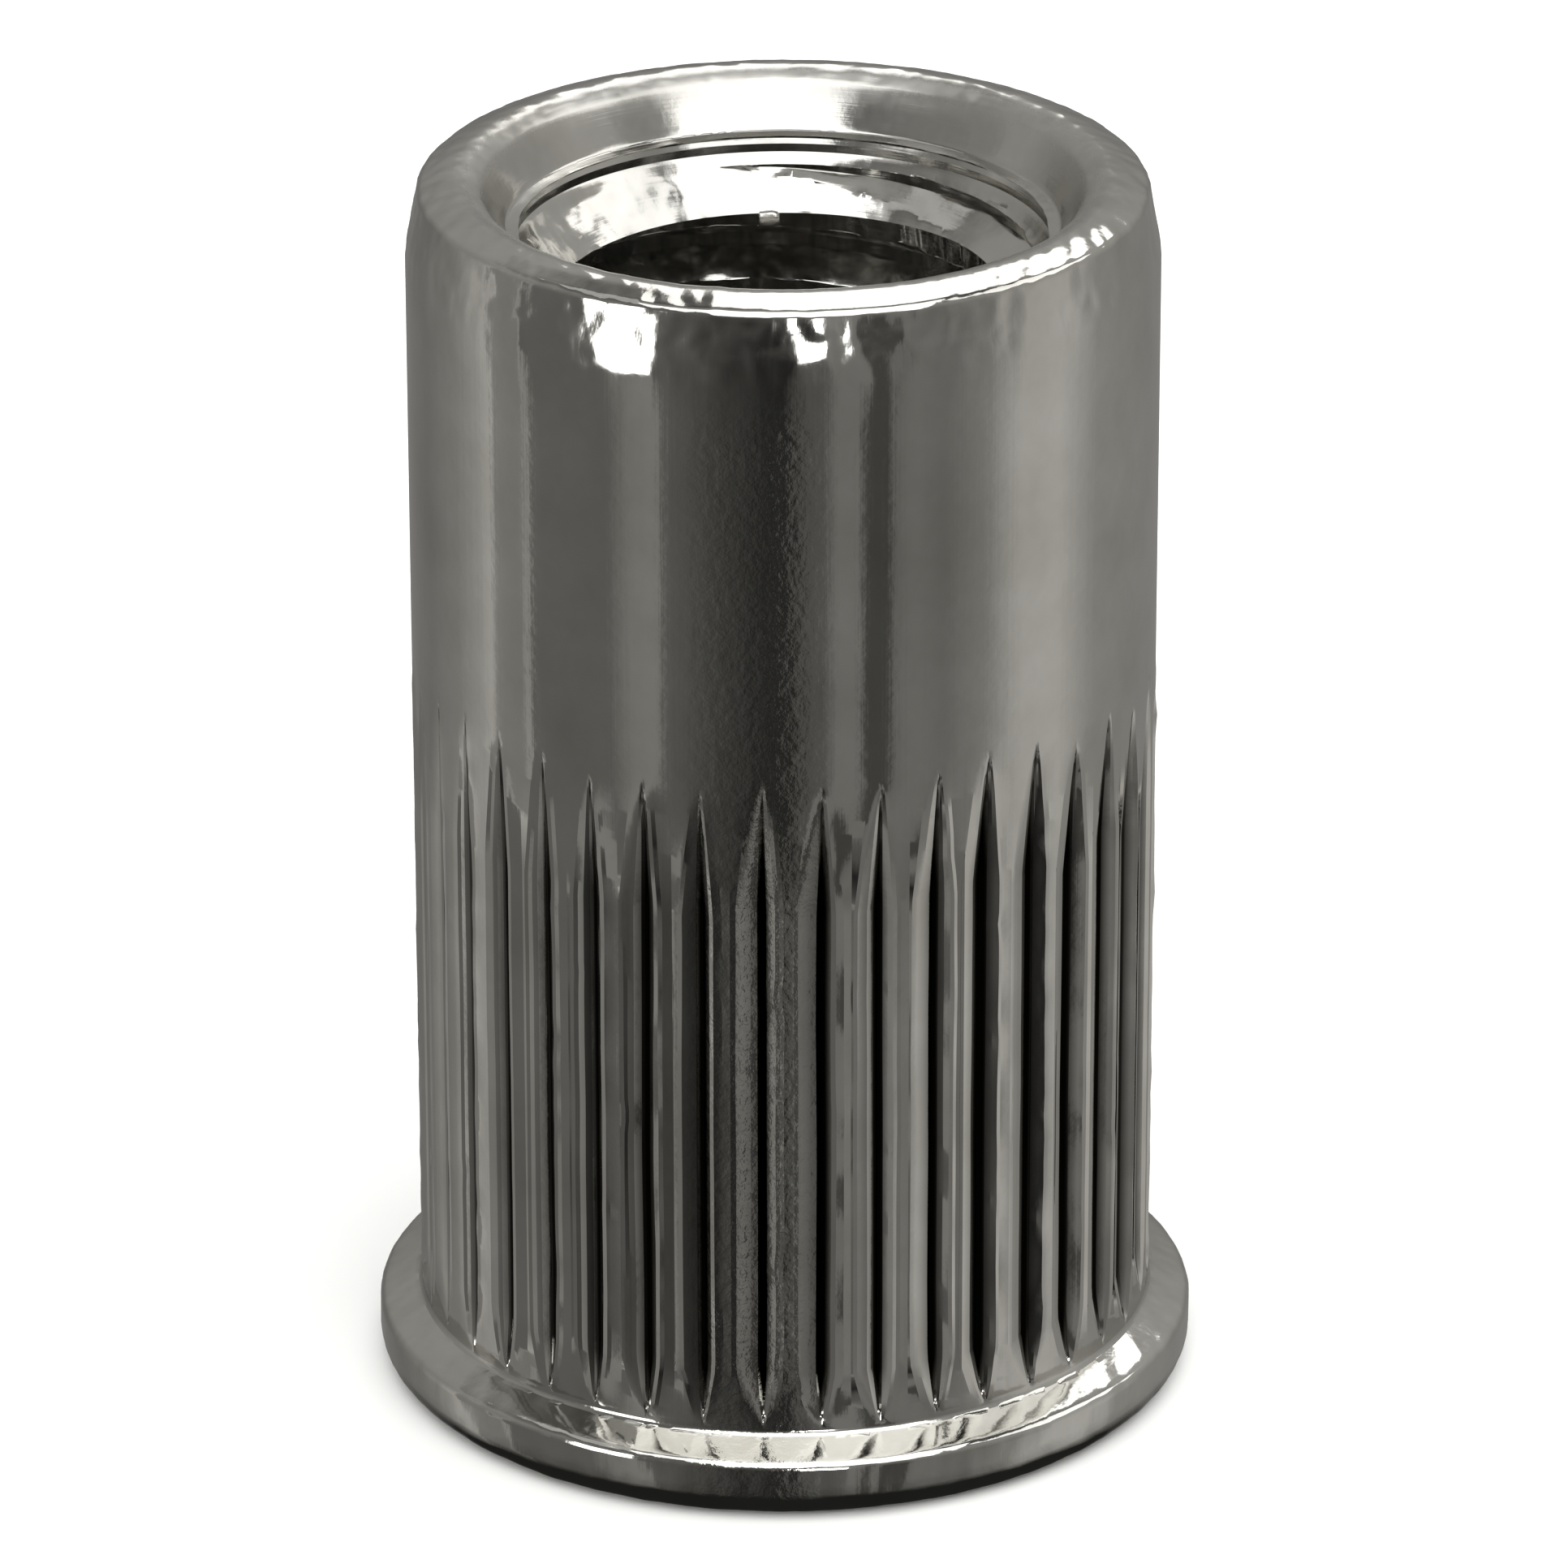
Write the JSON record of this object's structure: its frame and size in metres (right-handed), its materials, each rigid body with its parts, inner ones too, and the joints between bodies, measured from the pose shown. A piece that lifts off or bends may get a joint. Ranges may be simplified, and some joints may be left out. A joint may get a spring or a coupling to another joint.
{
  "type": "rivet nut",
  "caption": "Steel sleeve nut with a small head, a straight-knurled shank and a tapped open end, set into a sheet from one side.",
  "frame": {"origin": "centre of the head's outer face", "axes": "+Z along the sleeve's axis, from the head's outer face to the threaded end; X and Y across it"},
  "size_m": [0.01, 0.01, 0.0154],
  "materials": {
    "steel": "cold-formed and plated, glossy with fine drawing lines"
  },
  "bodies": {
    "root": {"rivet_nut": "steel"}
  },
  "joints": []
}
